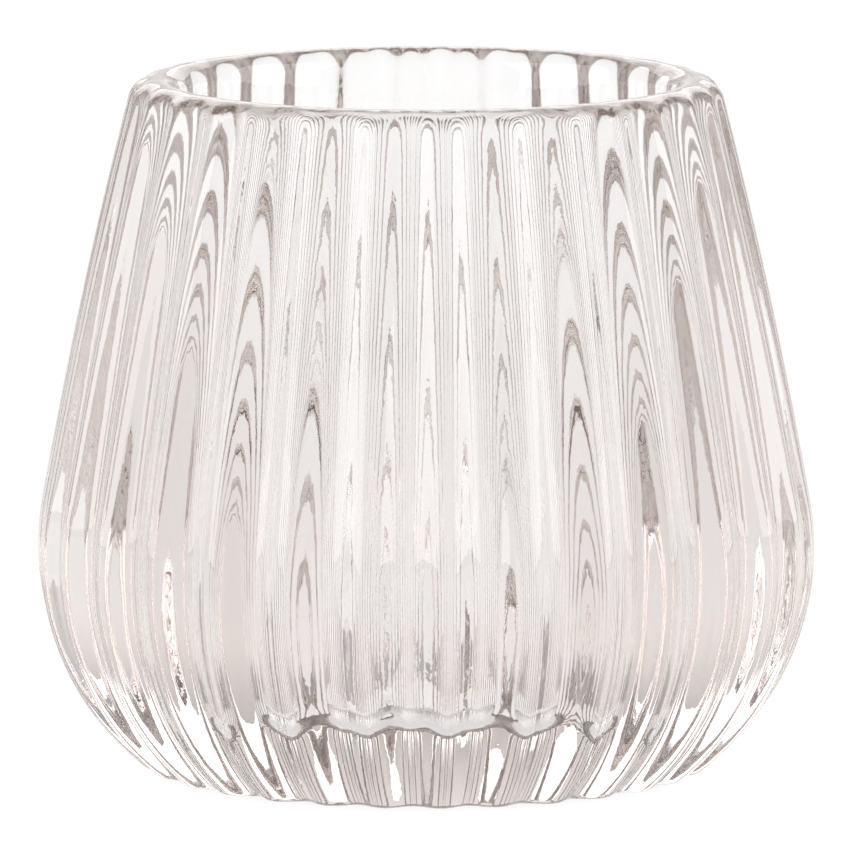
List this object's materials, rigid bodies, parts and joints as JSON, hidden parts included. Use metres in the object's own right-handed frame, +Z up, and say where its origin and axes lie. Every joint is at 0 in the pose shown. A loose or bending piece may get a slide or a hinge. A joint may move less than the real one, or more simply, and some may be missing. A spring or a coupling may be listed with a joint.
{
  "type": "tealight holder",
  "caption": "Clear pressed-glass tealight holder, a thick-walled ribbed cup with a rounded belly, a narrower open mouth and a heavy solid base",
  "frame": {"origin": "centre of the foot, on the surface that the holder stands on", "axes": "+Z up along the axis of the cup, -Y towards the viewer with a rib crest facing it"},
  "size_m": [0.0894, 0.09, 0.08],
  "materials": {
    "clear_glass": "clear colourless pressed glass, fire-polished, glossy"
  },
  "bodies": {
    "root": {"glass_body": "clear_glass"}
  },
  "joints": []
}
